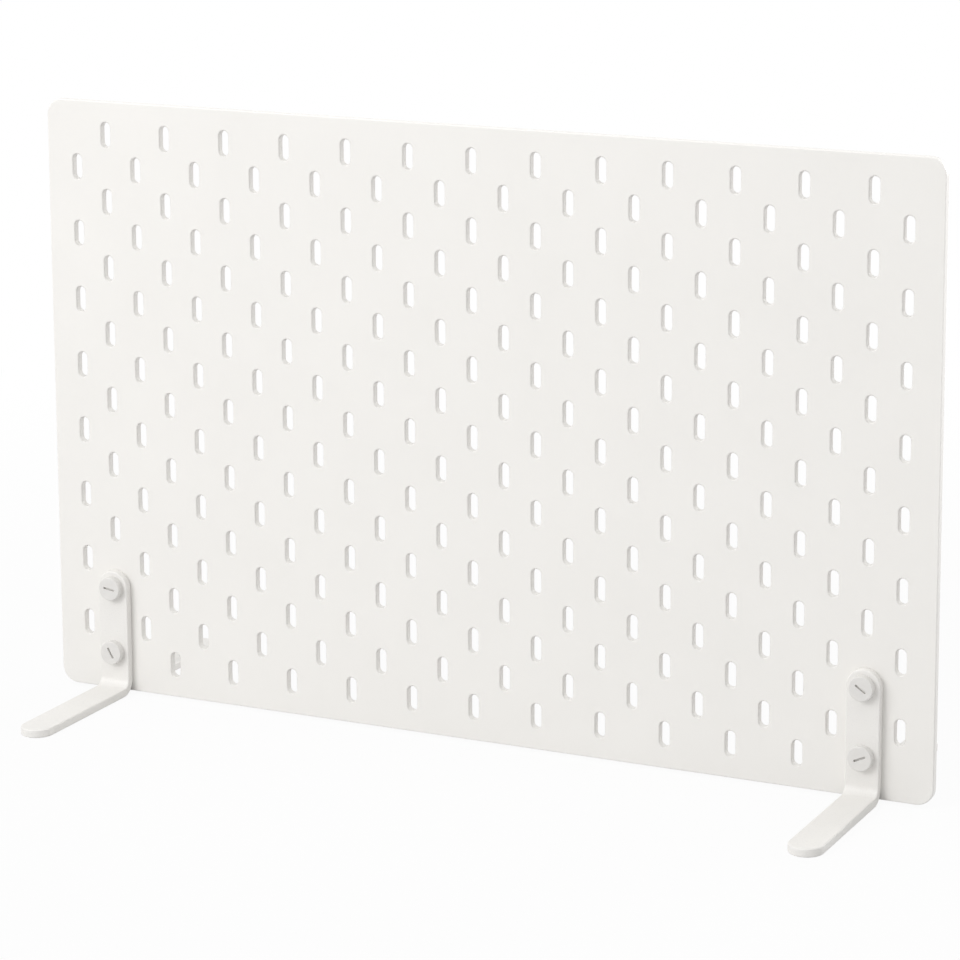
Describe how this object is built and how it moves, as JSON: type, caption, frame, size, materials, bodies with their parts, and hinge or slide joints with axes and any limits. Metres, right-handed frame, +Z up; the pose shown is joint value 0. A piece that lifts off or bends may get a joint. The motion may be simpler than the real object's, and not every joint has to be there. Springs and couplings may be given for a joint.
{
  "type": "free-standing slotted pegboard",
  "caption": "Upright white slotted pegboard on two pairs of bent bracket feet, for hanging hooks and holders on a desk.",
  "frame": {"origin": "on the table, under the middle of the board's length and thickness", "axes": "+X along the board to the right, +Y to the back, +Z up"},
  "size_m": [0.56, 0.205, 0.3615],
  "materials": {
    "board_lacquer": "white satin lacquer on fibreboard",
    "bracket_paint": "white satin powder coat on steel bar",
    "fastener_plastic": "matte white"
  },
  "bodies": {
    "board": {"slotted_board": "board_lacquer"},
    "left_foot": {"left_front_bracket": "bracket_paint", "left_rear_bracket": "bracket_paint"},
    "left_lower_screw": {"left_lower_screw": "fastener_plastic"},
    "left_lower_nut": {"left_lower_nut": "fastener_plastic"},
    "left_upper_screw": {"left_upper_screw": "fastener_plastic"},
    "left_upper_nut": {"left_upper_nut": "fastener_plastic"},
    "right_foot": {"right_front_bracket": "bracket_paint", "right_rear_bracket": "bracket_paint"},
    "right_lower_screw": {"right_lower_screw": "fastener_plastic"},
    "right_lower_nut": {"right_lower_nut": "fastener_plastic"},
    "right_upper_screw": {"right_upper_screw": "fastener_plastic"},
    "right_upper_nut": {"right_upper_nut": "fastener_plastic"}
  },
  "joints": [
    {"name": "board_lift", "type": "slide", "parent": "left_foot", "child": "board", "axis": [0, 0, 1], "range_m": [0, 0.0098]},
    {"name": "left_lower_screw_turn", "type": "hinge", "parent": "left_foot", "child": "left_lower_screw", "pos_m": [-0.24, -0.0075, 0.0264], "axis": [0, -1, 0], "range_deg": [0, 2250]},
    {"name": "left_lower_nut_travel", "type": "slide", "parent": "left_foot", "child": "left_lower_nut", "axis": [0, 1, 0], "range_m": [0, 0.005]},
    {"name": "left_upper_screw_turn", "type": "hinge", "parent": "left_foot", "child": "left_upper_screw", "pos_m": [-0.24, -0.0075, 0.0664], "axis": [0, -1, 0], "range_deg": [0, 2250]},
    {"name": "left_upper_nut_travel", "type": "slide", "parent": "left_foot", "child": "left_upper_nut", "axis": [0, 1, 0], "range_m": [0, 0.005]},
    {"name": "right_foot_slide", "type": "slide", "parent": "board", "child": "right_foot", "axis": [0, 0, 1], "range_m": [-0.0098, 0]},
    {"name": "right_lower_screw_turn", "type": "hinge", "parent": "right_foot", "child": "right_lower_screw", "pos_m": [0.24, -0.0075, 0.0264], "axis": [0, -1, 0], "range_deg": [0, 2250]},
    {"name": "right_lower_nut_travel", "type": "slide", "parent": "right_foot", "child": "right_lower_nut", "axis": [0, 1, 0], "range_m": [0, 0.005]},
    {"name": "right_upper_screw_turn", "type": "hinge", "parent": "right_foot", "child": "right_upper_screw", "pos_m": [0.24, -0.0075, 0.0664], "axis": [0, -1, 0], "range_deg": [0, 2250]},
    {"name": "right_upper_nut_travel", "type": "slide", "parent": "right_foot", "child": "right_upper_nut", "axis": [0, 1, 0], "range_m": [0, 0.005]}
  ],
  "couplings": [
    {"joint": "left_lower_screw_turn", "follows": "left_lower_nut_travel", "rad_per_m": 7854},
    {"joint": "left_upper_screw_turn", "follows": "left_upper_nut_travel", "rad_per_m": 7854},
    {"joint": "right_foot_slide", "follows": "board_lift", "ratio": -1},
    {"joint": "right_lower_screw_turn", "follows": "right_lower_nut_travel", "rad_per_m": 7854},
    {"joint": "right_upper_screw_turn", "follows": "right_upper_nut_travel", "rad_per_m": 7854}
  ]
}
